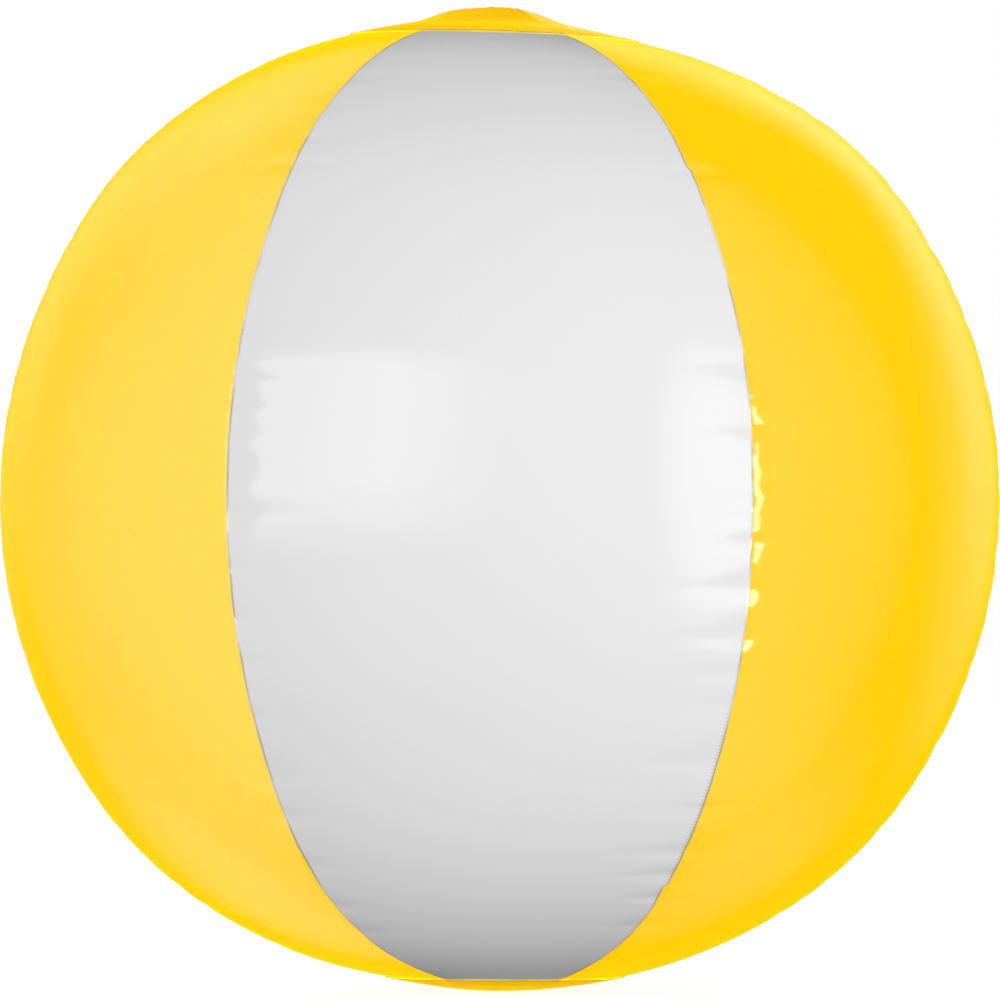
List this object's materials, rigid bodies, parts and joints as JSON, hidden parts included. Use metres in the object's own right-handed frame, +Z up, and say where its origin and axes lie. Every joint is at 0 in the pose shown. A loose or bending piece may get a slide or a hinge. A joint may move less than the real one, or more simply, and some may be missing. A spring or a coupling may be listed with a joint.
{
  "type": "beach ball",
  "caption": "Inflatable beach ball of lap-welded white and translucent yellow film gores, with a film disc over each pole and a push-in mouth valve at the top.",
  "frame": {"origin": "centre of the flat that the ball's weight presses into its foot", "axes": "+Z up along the ball's axis from foot to valve, a white gore faces -Y, +X to the right seen from there"},
  "size_m": [0.2798, 0.28, 0.2749],
  "materials": {
    "white_film": "opaque white vinyl film, glossy",
    "yellow_film": "translucent yellow vinyl film, glossy",
    "valve_vinyl": "soft milky vinyl moulding"
  },
  "bodies": {
    "ball": {"white_gore_1": "white_film", "white_gore_2": "white_film", "white_gore_3": "white_film", "yellow_gore_1": "yellow_film", "yellow_gore_2": "yellow_film", "yellow_gore_3": "yellow_film", "top_disc": "yellow_film", "foot_disc": "yellow_film", "valve_flange": "valve_vinyl", "valve_membrane": "valve_vinyl"},
    "stem": {"valve_stem": "valve_vinyl", "tether_ring": "valve_vinyl", "plug_strap": "valve_vinyl"},
    "plug": {"valve_plug": "valve_vinyl"},
    "flap": {"valve_flap": "valve_vinyl"}
  },
  "joints": [
    {"name": "stem_pull", "type": "slide", "parent": "ball", "child": "stem", "axis": [0, 0, 1], "range_m": [0, 0.014], "deforming": ["valve_membrane"]},
    {"name": "plug_pull", "type": "slide", "parent": "stem", "child": "plug", "axis": [0, 0, 1], "range_m": [0, 0.0055], "deforming": ["plug_strap"]},
    {"name": "flap_open", "type": "hinge", "parent": "stem", "child": "flap", "pos_m": [0.00433, 0, 0.25634], "axis": [0, -1, 0], "range_deg": [0, 60], "stiffness_Nm_per_rad": 0.00002, "springref_deg": -28.65}
  ]
}
